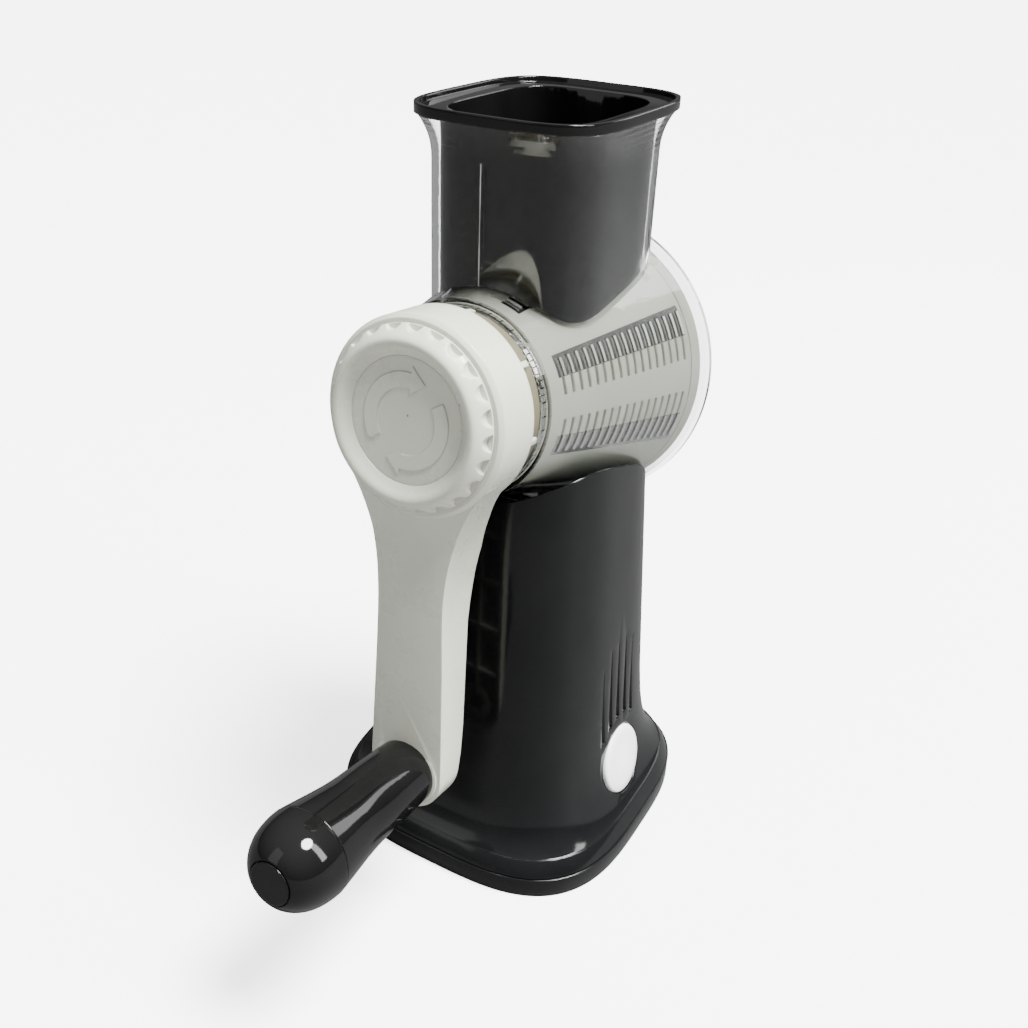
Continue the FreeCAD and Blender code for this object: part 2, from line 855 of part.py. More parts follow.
thin = size("crank_wall")
head = spun(
    [
        (0, size("head_rear")),
        (size("head_rear_radius"), size("head_rear")),
        (size("head_front_radius") + 0.6, size("head_front") + 1.5),
        (size("head_front_radius") - 0.9, size("head_front")),
        (0, size("head_front")),
    ]
)
head_hollow = spun(
    [
        (size("hub_radius"), size("head_rear") + 20),
        (size("head_rear_radius") - thin, size("head_rear") + 20),
        (size("head_rear_radius") - thin, size("head_rear")),
        (size("head_front_radius") - thin, size("head_front") + thin),
        (size("hub_radius"), size("head_front") + thin),
    ]
)
arm_hollow_plan = waist(thin).extrude(Vector(0, 60, 0))
arm_hollow_plan.translate(Vector(0, -90, 0))
arm_hollow = arm_side(thin).extrude(Vector(ARM_WIDTH, 0, 0))
arm_hollow.translate(Vector(-ARM_WIDTH / 2, 0, 0))
arm_hollow = arm_hollow.fuse(arm_hollow.translated(Vector(0, 4, 0))).common(arm_hollow_plan)
PIN_BOSS_RADIUS = 9.0
PIN_BOSS_LENGTH = 11.0
RIB_THICK = 1.8
RIB_PLACES = (-62, -84, -106, -128)
SPINE_LENGTH = 112
pin_boss = Part.makeCylinder(
    PIN_BOSS_RADIUS,
    PIN_BOSS_LENGTH,
    Vector(0, size("spindle_root") - PIN_BOSS_LENGTH, -size("crank_length")),
    Vector(0, 1, 0),
)
grip_collar = Part.makeCylinder(
    size("grip_collar_radius"),
    8.0,
    Vector(0, size("grip_collar_front"), -size("crank_length")),
    Vector(0, 1, 0),
)
ribs = []
for down in RIB_PLACES:
    rib = Part.makeBox(ARM_WIDTH, 70, RIB_THICK, Vector(-ARM_WIDTH / 2, -100, down))
    ribs.append(rib.common(arm_solid).common(arm_plan))
spine = Part.makeBox(
    RIB_THICK, 70, SPINE_LENGTH, Vector(-RIB_THICK / 2, -100, 1 - size("crank_length"))
).common(arm_solid)
crank = head.fuse(arm).cut([head_hollow, arm_hollow])
crank = crank.fuse([pin_boss, grip_collar, spine] + ribs)
spigot = Part.makeBox(
    size("socket_side"),
    size("spigot_end") - size("head_front") - 1,
    size("socket_side"),
    Vector(-size("socket_half"), size("head_front") + 1, -size("socket_half")),
)
bolt_bore = Part.makeCylinder(
    size("bolt_radius") + size("running_gap"), 60, Vector(0, -100, 0), Vector(0, 1, 0)
)
pin_bore = Part.makeCylinder(
    size("spindle_radius"), 60, Vector(0, -80, -size("crank_length")), Vector(0, 1, 0)
)
TAB_COUNT = 8
TAB_SWEEP = 3.5
TAB_FIRST = 37.0
tab_corners = [(32.6, -64), (34.3, -64), (33.8, -57.2), (32.6, -57.2)]
tabs = [
    part_turn(tab_corners, TAB_FIRST + 360 * number / TAB_COUNT, TAB_SWEEP) for number in range(TAB_COUNT)
]
crank = crank.fuse([spigot] + tabs).cut([bolt_bore, pin_bore])
crank = max(crank.Solids, key=lambda solid: solid.Volume)
shaped("crank_arm", crank, HEAD)

# steel pin that the grip turns on, pressed into the crank
grip_spindle = turned(
    "grip_spindle",
    [
        ("0", "spindle_root"),
        ("spindle_radius", "spindle_root"),
        ("spindle_radius", "spindle_end"),
        ("0", "spindle_end"),
    ],
)
finished(grip_spindle, CRANK_PIN)

spindle_screw = turned(
    "spindle_screw",
    [
        ("0", "spindle_end"),
        ("spindle_screw_radius", "spindle_end"),
        ("spindle_screw_radius", "spindle_end - spindle_screw_head"),
        ("0", "spindle_end - spindle_screw_head"),
    ],
)
finished(spindle_screw, CRANK_PIN)

# ---------------------------------------------------------------- lock knob

lock_knob = turned(
    "lock_knob",
    [
        ("bolt_head_radius", "knob_rear"),
        ("knob_radius", "knob_rear"),
        ("knob_radius", "knob_rear - knob_rim"),
        ("knob_face_radius + 1.0", "knob_front + 1.1"),
        ("knob_face_radius", "knob_front + 0.3"),
        ("knob_face_radius - 0.9", "knob_front"),
        ("knob_lip_radius", "knob_front + 0.3"),
        ("knob_dish_radius + 1.4", "knob_dish - 1.2"),
        ("knob_dish_radius", "knob_dish"),
        ("knob_dish_radius", "bolt_head_front"),
        ("bolt_head_radius", "bolt_head_front"),
    ],
)
scallop_sketch = sketch_on(lock_knob, "scallop_plan", "XZ_Plane")
scallop_sketch.addGeometry(Part.Circle(Vector(size("knob_radius"), 0, 0), Vector(0, 0, 1), 2), False)
scallop_sketch.addConstraint(Sketcher.Constraint("PointOnObject", 0, 3, -1))
reach = scallop_sketch.addConstraint(Sketcher.Constraint("DistanceX", -1, 1, 0, 3, size("knob_radius")))
scallop_sketch.setExpression("Constraints[%d]" % reach, bound("knob_radius + scallop_offset"))
girth = scallop_sketch.addConstraint(Sketcher.Constraint("Radius", 0, 2))
scallop_sketch.setExpression("Constraints[%d]" % girth, bound("scallop_radius"))
scallop_sketch.AttachmentOffset = Placement(Vector(0, 0, -size("knob_front") + 1), Rotation())
scallop = lock_knob.newObject("PartDesign::Pocket", "scallop")
scallop.Profile = scallop_sketch
scallop.setExpression("Length", bound("scallop_end - knob_front + 1"))
scallop_sketch.Visibility = False
doc.recompute()
scallops = lock_knob.newObject("PartDesign::PolarPattern", "scallops")
scallops.Originals = [scallop]
scallops.Axis = (doc.getObject("lock_knob_profile"), ["V_Axis"])
scallops.Angle = 360
scallops.setExpression("Occurrences", bound("scallop_count"))
lock_knob.Tip = scallops
doc.recompute()
finished(lock_knob, HEAD)

lock_bolt = turned(
    "lock_bolt",
    [
        ("0", "bolt_head_front"),
        ("bolt_head_radius", "bolt_head_front"),
        ("bolt_head_radius", "knob_rear"),
        ("bolt_radius", "knob_rear"),
        ("bolt_radius", "bolt_end"),
        ("0", "bolt_end"),
    ],
)
finished(lock_bolt, HEAD)

# dished cover over the bolt's head, with two arrows that show which way it tightens
ARROW_RADIUS = 13.8
ARROW_WIDTH = 5.2
ARROW_MIDDLE = 150
ARROW_SWEEP = 128
ARROW_HEAD_HALF = 4.9
ARROW_HEAD_LENGTH = 5.6
ARROW_HEIGHT = 0.35
GATE_MARK_RADIUS = 0.3
cover_front = size("knob_dish")
cover = spun(
    [
        (0, size("bolt_head_front")),
        (size("knob_dish_radius"), size("bolt_head_front")),
        (size("knob_dish_radius"), cover_front),
        (0, cover_front),
    ]
)
arrow_marks = []
for turn in (0, 180):
    arc_corners = [
        (ARROW_RADIUS - ARROW_WIDTH / 2, cover_front),
        (ARROW_RADIUS + ARROW_WIDTH / 2, cover_front),
        (ARROW_RADIUS + ARROW_WIDTH / 2, cover_front - ARROW_HEIGHT),
        (ARROW_RADIUS - ARROW_WIDTH / 2, cover_front - ARROW_HEIGHT),
    ]
    arrow_marks.append(part_turn(arc_corners, turn + ARROW_MIDDLE, ARROW_SWEEP))
    end_angle = math.radians(turn + ARROW_MIDDLE - ARROW_SWEEP / 2)
    outward = Vector(math.cos(end_angle), 0, math.sin(end_angle))
    onward = Vector(math.sin(end_angle), 0, -math.cos(end_angle))
    middle = outward * ARROW_RADIUS + Vector(0, cover_front, 0)
    tip_corners = [
        middle + outward * ARROW_HEAD_HALF,
        middle - outward * ARROW_HEAD_HALF,
        middle + onward * ARROW_HEAD_LENGTH,
    ]
    tip_face = Part.Face(Part.makePolygon(tip_corners + tip_corners[:1]))
    arrow_marks.append(tip_face.extrude(Vector(0, -ARROW_HEIGHT, 0)))
gate_mark = Part.makeCylinder(GATE_MARK_RADIUS, 1.0, Vector(0.6, cover_front - 0.4, 2.0), Vector(0, 1, 0))
shaped("knob_cover", cover.fuse(arrow_marks).cut(gate_mark), HEAD)

# ---------------------------------------------------------------- grip


def smooth_turned(outer, inner):
    """A solid spun about the Y axis between a smooth outer curve and straight inner corners."""
    curve = Part.BSplineCurve()
    curve.interpolate([Vector(radius, along, 0) for radius, along in outer])
    corners = [Vector(*outer[-1], 0)] + [Vector(radius, along, 0) for radius, along in inner]
    corners.append(Vector(*outer[0], 0))
    edges = [curve.toShape()]
    edges += [Part.LineSegment(a, b).toShape() for a, b in zip(corners, corners[1:])]
    return Part.Face(Part.Wire(edges)).revolve(Vector(0, 0, 0), Vector(0, 1, 0), 360)


seam = size("grip_seam")
sleeve_outer = [
    (13.2, size("grip_rear")),
    (13.6, -79),
    (14.0, -90),
    (14.5, -102),
    (15.9, -114),
    (17.7, seam),
]
sleeve_inner = [
    (size("grip_core"), seam),
    (size("grip_core"), size("grip_rear")),
]
shaped("grip_sleeve", smooth_turned(sleeve_outer, sleeve_inner), CRANK_PIN)

bulb_start = seam - size("grip_seam_gap")
bulb_outer = [(17.7, bulb_start), (17.4, -131.5), (15.9, -137.5), (12.6, -142.8), (8.5, -145.8)]
bulb_inner = [
    (8.5, -144.2),
    (0, -144.2),
    (0, -141.6),
    (size("grip_core"), -138.0),
    (size("grip_core") + 1.5, bulb_start),
]
shaped("grip_bulb", smooth_turned(bulb_outer, bulb_inner), CRANK_PIN)
grip_end_disc = turned(
    "grip_end_disc",
    [
        ("0", "disc_rear"),
        ("disc_radius", "disc_rear"),
        ("disc_radius", "grip_end"),
        ("0", "grip_end"),
    ],
)
finished(grip_end_disc, CRANK_PIN)
grip_bush = turned(
    "grip_bush",
    [
        ("spindle_radius + running_gap", "grip_rear"),
        ("grip_core", "grip_rear"),
        ("grip_core", "spindle_end + part_gap"),
        ("spindle_radius + running_gap", "spindle_end + part_gap"),
    ],
)
finished(grip_bush, CRANK_PIN)

# ---------------------------------------------------------------- suction foot

BRACKET_THICK = 7.0
BRACKET_WIDTH = 18.0
BRACKET_HEIGHT = 32.0
BRACKET_PLACE = 26.0
PLATE_STEP = 1.2
base_plate = prism(
    foot_inner_half,
    foot_inner_half,
    size("foot_power"),
    size("base_centre"),
    size("plate_bottom"),
    size("foot_height"),
)
plate_upper = prism(
    foot_inner_half - PLATE_STEP,
    foot_inner_half - PLATE_STEP,
    size("foot_power"),
    size("base_centre"),
    size("foot_height"),
    size("plate_top"),
)
stem_hole = Part.makeCylinder(
    size("stem_radius") + size("running_gap"), 60, Vector(0, size("base_centre"), 0)
)
shaft_hole = Part.makeCylinder(
    size("shaft_radius") + size("running_gap"), 70, Vector(0, -70, 0), Vector(0, 1, 0)
)
shaft_hole.Placement = DIAL
bracket = Part.makeBox(
    BRACKET_THICK,
    BRACKET_WIDTH,
    BRACKET_HEIGHT,
    Vector(BRACKET_PLACE, size("base_centre") - BRACKET_WIDTH / 2, size("foot_height")),
)
bottom_plate = base_plate.fuse([plate_upper, bracket]).cut([stem_hole, shaft_hole])
shaped("bottom_plate", bottom_plate)

suction_cup = turned(
    "suction_cup",
    [
        ("0", "cup_bottom"),
        ("cup_radius - 1", "cup_bottom"),
        ("cup_radius", "cup_bottom + 1"),
        ("cup_radius - 4", "cup_bottom + 2.6"),
        ("stem_flange_radius + 3.5", "cup_bottom + 3.2"),
        ("stem_flange_radius + 3.5", "cup_bottom + 6"),
        ("stem_flange_radius + part_gap", "cup_bottom + 6"),
        ("stem_flange_radius + part_gap", "cup_bottom + 2"),
        ("0", "cup_bottom + 2"),
    ],
)
finished(suction_cup, UPRIGHT)

suction_stem = turned(
    "suction_stem",
    [
        ("0", "stem_bottom"),
        ("stem_flange_radius", "stem_bottom"),
        ("stem_flange_radius", "stem_bottom + 1.6"),
        ("stem_radius", "stem_bottom + 1.6"),
        ("stem_radius", "yoke_bottom"),
        ("0", "yoke_bottom"),
    ],
)
finished(suction_stem, UPRIGHT)

YOKE_WIDTH = 8.0
YOKE_DEPTH = 26.0
YOKE_PLAY = 2.7
yoke = Part.makeBox(
    YOKE_WIDTH,
    YOKE_DEPTH,
    size("yoke_top") - size("yoke_bottom"),
    Vector(-YOKE_WIDTH / 2 - 2, size("base_centre") - YOKE_DEPTH / 2, size("yoke_bottom")),
)
cam_height = size("dial_height") - (size("dial_reach") + 2) * math.tan(math.radians(size("dial_tilt")))
yoke_slot = Part.makeBox(
    YOKE_WIDTH + 2,
    2 * (size("cam_throw") + size("cam_pin_radius") + 1),
    2 * (size("cam_pin_radius") + YOKE_PLAY),
    Vector(
        -YOKE_WIDTH / 2 - 3,
        size("base_centre") - (size("cam_throw") + size("cam_pin_radius") + 1),
        cam_height - size("cam_pin_radius") - YOKE_PLAY,
    ),
)
shaped("stem_yoke", yoke.cut(yoke_slot))

# dial, its shaft, and the cam disc whose pin works in the yoke's slot
suction_dial = turned(
    "suction_dial",
    [
        ("shaft_radius", "dial_back"),
        ("dial_radius", "dial_back"),
        ("dial_radius", "0.6"),
        ("dial_radius - 0.8", "1.2"),
        ("dial_radius - 4", "1.5"),
        ("0", "1.6"),
        ("0", "0"),
        ("shaft_radius", "0"),
    ],
)
finished(suction_dial, DIAL)
dial_shaft = turned(
    "dial_shaft",
    [("0", "shaft_inner"), ("shaft_radius", "shaft_inner"), ("shaft_radius", "0"), ("0", "0")],
)
finished(dial_shaft, DIAL)
CAM_THICK = 4.0
CAM_PIN_REACH = 14.0
cam_disc = Part.makeCylinder(
    size("cam_radius"), CAM_THICK, Vector(0, size("shaft_inner") - CAM_THICK, 0), Vector(0, 1, 0)
)
cam_pin = Part.makeCylinder(
    size("cam_pin_radius"),
    CAM_PIN_REACH - CAM_THICK / 2,
    Vector(size("cam_throw"), size("shaft_inner") - CAM_PIN_REACH, 0),
    Vector(0, 1, 0),
)
shaped("cam_disc", cam_disc.fuse(cam_pin), DIAL)
shaft_clip = turned(
    "shaft_clip",
    [
        ("shaft_radius", "clip_rear"),
        ("shaft_radius + 2", "clip_rear"),
        ("shaft_radius + 2", "clip_rear + 1"),
        ("shaft_radius", "clip_rear + 1"),
    ],
)
finished(shaft_clip, DIAL)

# ---------------------------------------------------------------- checks and files

doc.recompute()
for item in doc.Objects:
    if "Invalid" in item.State or "Error" in item.State:
        raise RuntimeError("%s did not recompute" % item.Label)
for item in SUBPARTS:
    if item.Shape.isNull() or not item.Shape.isValid():
        raise RuntimeError("%s has no valid shape" % item.Label)
for item in SUBPARTS:
    item.Shape.exportStep("parts/%s.step" % item.Label)
    print(item.Label, len(item.Shape.Solids), round(item.Shape.Volume / 1000, 2))
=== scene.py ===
"""Rotary cheese grater: looks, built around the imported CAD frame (metres, +Z up, crank at -Y)."""

import json
import math

import bmesh
import bpy
from mathutils import Matrix, Vector

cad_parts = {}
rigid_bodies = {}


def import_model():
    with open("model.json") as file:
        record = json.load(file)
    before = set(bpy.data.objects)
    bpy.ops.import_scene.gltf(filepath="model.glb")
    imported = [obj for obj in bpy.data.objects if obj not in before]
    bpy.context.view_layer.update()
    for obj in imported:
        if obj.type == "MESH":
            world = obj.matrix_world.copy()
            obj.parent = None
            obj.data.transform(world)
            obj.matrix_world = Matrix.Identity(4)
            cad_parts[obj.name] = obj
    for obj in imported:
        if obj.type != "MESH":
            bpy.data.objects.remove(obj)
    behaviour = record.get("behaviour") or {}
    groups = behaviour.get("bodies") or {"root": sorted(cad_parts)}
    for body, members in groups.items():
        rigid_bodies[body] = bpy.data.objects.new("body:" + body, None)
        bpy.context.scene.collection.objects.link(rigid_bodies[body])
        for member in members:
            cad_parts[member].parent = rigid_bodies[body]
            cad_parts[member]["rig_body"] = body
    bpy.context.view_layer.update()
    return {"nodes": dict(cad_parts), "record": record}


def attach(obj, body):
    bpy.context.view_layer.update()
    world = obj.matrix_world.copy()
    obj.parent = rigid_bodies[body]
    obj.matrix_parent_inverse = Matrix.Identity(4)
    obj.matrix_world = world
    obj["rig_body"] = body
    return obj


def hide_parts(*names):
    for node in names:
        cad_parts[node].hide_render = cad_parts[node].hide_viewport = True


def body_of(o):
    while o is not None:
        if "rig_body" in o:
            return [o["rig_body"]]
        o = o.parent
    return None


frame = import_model()
NODES = frame["nodes"]

# ---------------------------------------------------------------- materials


class Nodes:
    """A material's node tree, with short calls for the few kinds of node used here."""

    def __init__(self, name):
        self.material = bpy.data.materials.new(name)
        self.material.use_nodes = True
        self.tree = self.material.node_tree
        self.shader = self.tree.nodes["Principled BSDF"]

    def add(self, kind, **settings):
        node = self.tree.nodes.new(kind)
        for key, setting in settings.items():
            if key in node.inputs:
                node.inputs[key].default_value = setting
            else:
                setattr(node, key, setting)
        return node

    def link(self, source, output, target, socket):
        self.tree.links.new(source.outputs[output], target.inputs[socket])

    def noise(self, scale, detail=4.0, roughness=0.55):
        place = self.add("ShaderNodeTexCoord")
        noise = self.add("ShaderNodeTexNoise", Scale=scale, Detail=detail, Roughness=roughness)
        self.link(place, "Object", noise, "Vector")
        return noise

    def ramp(self, source, output, low, high, low_at=0.3, high_at=0.7):
        """Maps a value onto a range between two grey levels or colours."""
        ramp = self.add("ShaderNodeValToRGB")
        ramp.color_ramp.elements[0].position = low_at
        ramp.color_ramp.elements[1].position = high_at
        ramp.color_ramp.elements[0].color = low if len(low) == 4 else (*low, 1)
        ramp.color_ramp.elements[1].color = high if len(high) == 4 else (*high, 1)
        self.link(source, output, ramp, "Fac")
        return ramp


def grey(level):
    return (level, level, level, 1)


PEEL_DEPTH = 0.00002


def rounded(nodes, radius):
    """Shading that rounds off sharp moulded edges by a small radius."""
    bevel = nodes.add("ShaderNodeBevel", samples=6)
    bevel.inputs["Radius"].default_value = radius
    return bevel


def moulded_plastic(name, colour, tint, rough_low, rough_high, shine=0.5, edge=0.0007):
    """Moulded plastic: faint colour drift, cloudy gloss, orange peel and slightly rounded edges."""
    nodes = Nodes(name)
    shader = nodes.shader
    drift = nodes.noise(35, 5)
    colours = nodes.ramp(drift, "Fac", colour, tint)
    nodes.link(colours, "Color", shader, "Base Color")
    cloud = nodes.noise(90, 6, 0.6)
    gloss = nodes.ramp(cloud, "Fac", grey(rough_low), grey(rough_high), 0.35, 0.75)
    nodes.link(gloss, "Color", shader, "Roughness")
    peel = nodes.noise(700, 3)
    bump = nodes.add("ShaderNodeBump", Strength=0.12, Distance=PEEL_DEPTH)
    nodes.link(peel, "Fac", bump, "Height")
    nodes.link(rounded(nodes, edge), "Normal", bump, "Normal")
    nodes.link(bump, "Normal", shader, "Normal")
    shader.inputs["Specular IOR Level"].default_value = shine
    shader.inputs["IOR"].default_value = 1.5
    return nodes.material


DRUM_AXIS = (0.0, 0.99027, -0.13917)
DRUM_AXIS_HEIGHT = 0.2001
# Painted shade on the drum's collar: where along the drum's axis it starts, how soft its edge is,
# and its olive colour.
COLLAR_EDGE = -0.0490
COLLAR_FADE = 0.0015
COLLAR_SHADE_COLOUR = (0.135, 0.125, 0.08)


def paint_collar_shade(material, colour):
    """Paint shade onto the drum's collar, which sits deep in the gap behind the crank's head,
    darkening its colour from a set point along the drum's axis.
    """
    tree = material.node_tree
    shader = tree.nodes["Principled BSDF"]
    base = shader.inputs["Base Color"].links[0].from_socket
    place = tree.nodes.new("ShaderNodeTexCoord")
    along = tree.nodes.new("ShaderNodeVectorMath")
    along.operation = "DOT_PRODUCT"
    along.inputs[1].default_value = DRUM_AXIS
    tree.links.new(place.outputs["Object"], along.inputs[0])
    shade = tree.nodes.new("ShaderNodeMapRange")
    start = COLLAR_EDGE + DRUM_AXIS[2] * DRUM_AXIS_HEIGHT
    shade.inputs["From Min"].default_value = start
    shade.inputs["From Max"].default_value = start - COLLAR_FADE
    tree.links.new(along.outputs["Value"], shade.inputs["Value"])
    mix = tree.nodes.new("ShaderNodeMix")
    mix.data_type = "RGBA"
    tree.links.new(shade.outputs["Result"], mix.inputs[0])
    tree.links.new(base, mix.inputs[6])
    mix.inputs[7].default_value = (*colour, 1)
    tree.links.new(mix.outputs[2], shader.inputs["Base Color"])


def clear_plastic(name):
    """Clear polycarbonate: almost colourless, with slight moulding haze."""
    nodes = Nodes(name)
    shader = nodes.shader
    shader.inputs["Base Color"].default_value = (0.97, 0.98, 0.975, 1)
    shader.inputs["Transmission Weight"].default_value = 1.0
    shader.inputs["IOR"].default_value = 1.36
    haze = nodes.noise(60, 5)
    gloss = nodes.ramp(haze, "Fac", grey(0.015), grey(0.05))
    nodes.link(gloss, "Color", shader, "Roughness")
    flow = nodes.noise(120, 2)
    bump = nodes.add("ShaderNodeBump", Strength=0.08, Distance=0.00003)
    nodes.link(flow, "Fac", bump, "Height")
    nodes.link(bump, "Normal", shader, "Normal")
    return nodes.material


def rolled_steel(name, colour, rough_low, rough_high):
    """Stainless steel with fine rolling marks drawn out along the strip."""
    nodes = Nodes(name)
    shader = nodes.shader
    shader.inputs["Metallic"].default_value = 1.0
    place = nodes.add("ShaderNodeTexCoord")
    drawn = nodes.add("ShaderNodeMapping")
    drawn.inputs["Scale"].default_value = (1, 40, 1)
    nodes.link(place, "Object", drawn, "Vector")
    lines = nodes.add("ShaderNodeTexNoise", Scale=150, Detail=4)
    nodes.link(drawn, "Vector", lines, "Vector")
    colours = nodes.ramp(lines, "Fac", tuple(0.86 * c for c in colour), colour)
    nodes.link(colours, "Color", shader, "Base Color")
    gloss = nodes.ramp(lines, "Fac", grey(rough_low), grey(rough_high))
    nodes.link(gloss, "Color", shader, "Roughness")
    bump = nodes.add("ShaderNodeBump", Strength=0.15, Distance=0.00002)
    nodes.link(lines, "Fac", bump, "Height")
    nodes.link(bump, "Normal", shader, "Normal")
    return nodes.material


def soft_rubber(name):
    """Dull black rubber with a dusty bloom."""
    nodes = Nodes(name)
    shader = nodes.shader
    dust = nodes.noise(200, 8, 0.7)
    colours = nodes.ramp(dust, "Fac", (0.02, 0.02, 0.021), (0.05, 0.05, 0.05))
    nodes.link(colours, "Color", shader, "Base Color")
    gloss = nodes.ramp(dust, "Fac", grey(0.55), grey(0.75))
    nodes.link(gloss, "Color", shader, "Roughness")
    bump = nodes.add("ShaderNodeBump", Strength=0.3, Distance=0.00005)
    nodes.link(dust, "Fac", bump, "Height")
    nodes.link(bump, "Normal", shader, "Normal")
    return nodes.material


MATERIALS = {
    "black_body": moulded_plastic(
        "black_body", (0.0035, 0.0038, 0.004), (0.006, 0.0062, 0.0065), 0.09, 0.15, shine=0.36
    ),
    "black_gloss": moulded_plastic(
        "black_gloss", (0.003, 0.003, 0.003), (0.005, 0.005, 0.005), 0.04, 0.08, shine=0.4
    ),
    "clear_plastic": clear_plastic("clear_plastic"),
    # Light grey, rough plastic for the hopper's seam: a painted highlight, standing for the light
    # caught along the thin clear ridge.
    "seam_painted_highlight": moulded_plastic(
        "seam_painted_highlight", (0.62, 0.63, 0.62), (0.75, 0.76, 0.75), 0.25, 0.4, edge=0.0001
    ),
    "drum_white": moulded_plastic("drum_white", (0.50, 0.51, 0.43), (0.54, 0.55, 0.47), 0.30, 0.40),
    "crank_white": moulded_plastic(
        "crank_white", (0.55, 0.56, 0.475), (0.59, 0.60, 0.515), 0.26, 0.36
    ),
    "dial_white": moulded_plastic("dial_white", (0.93, 0.93, 0.93), (0.96, 0.96, 0.96), 0.25, 0.33),
    "blade_steel": rolled_steel("blade_steel", (0.66, 0.66, 0.65), 0.12, 0.24),
    # Brighter, rougher copy of the blade steel for the cutting lips: partly a painted highlight, so
    # the tooth edges read as bright lines on top of the real glints their shape catches.
    "lip_highlight_steel": rolled_steel("lip_highlight_steel", (0.93, 0.93, 0.91), 0.36, 0.5),
    "steel": rolled_steel("steel", (0.55, 0.55, 0.55), 0.25, 0.4),
    "brass": rolled_steel("brass", (0.72, 0.55, 0.25), 0.25, 0.4),
    "nylon": moulded_plastic("nylon", (0.70, 0.69, 0.65), (0.76, 0.75, 0.71), 0.45, 0.6),
    "rubber": soft_rubber("rubber"),
}

# Painted shade: the drum's collar darkens to olive where it sits in the gap behind the crank's
# head.
paint_collar_shade(MATERIALS["drum_white"], COLLAR_SHADE_COLOUR)

SLOT_OF = {entry["node"]: entry["material_slot"] for entry in frame["record"]["subparts"]}
BODY_OF = {name: body_of(thing)[0] for name, thing in NODES.items()}
SMOOTH_ANGLE = math.radians(32)


def dress(thing, slot):
    """Give an object its material and smooth shading between shallow faces."""
    thing.data.materials.clear()
    thing.data.materials.append(MATERIALS[slot])
    for face in thing.data.polygons:
        face.use_smooth = True
    thing.data.set_sharp_from_angle(angle=SMOOTH_ANGLE)


for node_name, node_object in NODES.items():
    dress(node_object, SLOT_OF[node_name])

# ---------------------------------------------------------------- pieces with rounded edges


def in_place(name, mesh, body, slot):
    """Put a finished mesh into the scene as a piece of a body."""
    piece = bpy.data.objects.new(name, mesh)
    bpy.context.scene.collection.objects.link(piece)
    dress(piece, slot)
    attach(piece, body)
    return piece


WELD = 2e-6
FLAT_ANGLE = math.radians(0.4)
EDGE_ANGLE = math.radians(38)
EDGE_STEPS = 3


def softened(node, width):
    """A moulded copy of a CAD node: the same shape, with every sharp edge rounded off."""
    work = bmesh.new()
    work.from_mesh(NODES[node].data)
    bmesh.ops.remove_doubles(work, verts=work.verts, dist=WELD)
    bmesh.ops.dissolve_limit(
        work,
        angle_limit=FLAT_ANGLE,
        verts=work.verts,
        edges=work.edges,
        use_dissolve_boundaries=False,
    )
    flat = bpy.data.meshes.new(node + "_flat")
    work.to_mesh(flat)
    work.free()
    blank = bpy.data.objects.new(node + "_blank", flat)
    bpy.context.scene.collection.objects.link(blank)
    edges = blank.modifiers.new("edges", "BEVEL")
    edges.width = width
    edges.segments = EDGE_STEPS
    edges.limit_method = "ANGLE"
    edges.angle_limit = EDGE_ANGLE
    edges.use_clamp_overlap = True
    edges.miter_outer = "MITER_ARC"
    graph = bpy.context.evaluated_depsgraph_get()
    mesh = bpy.data.meshes.new_from_object(blank.evaluated_get(graph))
    bpy.data.objects.remove(blank)
    piece = in_place(node + "_moulded", mesh, BODY_OF[node], SLOT_OF[node])
    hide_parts(node)
    return piece


SOFTENED = {
    "crank_arm": 0.0011,
    "body_housing": 0.0009,
    "foot_ring": 0.0012,
    "pusher": 0.0006,
    "lock_knob": 0.0004,
    "suction_dial": 0.0006,
}
for node_name, edge_width in SOFTENED.items():
    softened(node_name, edge_width)

# ---------------------------------------------------------------- moulding seam of the hopper

SEAM_X = -0.0035
SEAM_Y = -0.03545
SEAM_BOTTOM = 0.243
SEAM_TOP = 0.284
SEAM_HALF = 0.0002
SEAM_PROUD = 0.00015
SEAM_STEPS = 24


def moulding_seam():
    """A hair-thin ridge, of slightly uneven width, where the halves of the hopper's mould met."""
    mesh = bpy.data.meshes.new("hopper_seam")
    points = []
    for step in range(SEAM_STEPS + 1):
        height = SEAM_BOTTOM + (SEAM_TOP - SEAM_BOTTOM) * step / SEAM_STEPS
        thick = SEAM_HALF * (0.8 + 0.2 * math.sin(9.0 * step / SEAM_STEPS))
        points.append((SEAM_X - thick, SEAM_Y, height))
        points.append((SEAM_X, SEAM_Y - SEAM_PROUD, height))
        points.append((SEAM_X + thick, SEAM_Y, height))
    faces = []
    for step in range(SEAM_STEPS):
        low = 3 * step
        faces.append((low, low + 1, low + 4, low + 3))
        faces.append((low + 1, low + 2, low + 5, low + 4))
        faces.append((low + 2, low, low + 3, low + 5))
    faces.append((2, 1, 0))
    end = 3 * SEAM_STEPS
    faces.append((end, end + 1, end + 2))
    mesh.from_pydata(points, [], faces)
    seam = in_place("hopper_seam", mesh, "base", "clear_plastic")
    # The seam takes the light grey plastic: a painted highlight along the clear ridge.
    seam.data.materials[0] = MATERIALS["seam_painted_highlight"]


moulding_seam()

# ---------------------------------------------------------------- cutting lips on the steel strips

SLOT_FIRST = -0.0412
SLOT_PITCH = 0.00425
SLOT_WIDTH = 0.0015
SLOTS = 17
PAIRS = 4
PAIR_MIDDLE = 6.0
LIP_FROM = 17.4
LIP_TO = 27.6
LIP_STEPS = 6
LIP_HEIGHT = 0.00042
LIP_SUNK = 0.0001
LIP_CREST = 0.0007
LIP_DEPTH = 0.0009
LIP_PROFILE = ((0, -LIP_SUNK), (LIP_CREST, LIP_HEIGHT), (LIP_DEPTH, -LIP_SUNK))
NEAR_END = 1e-5
DRUM_LINE = Vector(DRUM_AXIS)
DRUM_MIDDLE = Vector((0, 0, DRUM_AXIS_HEIGHT))
DRUM_UP = Vector((0, -DRUM_AXIS[2], DRUM_AXIS[1]))


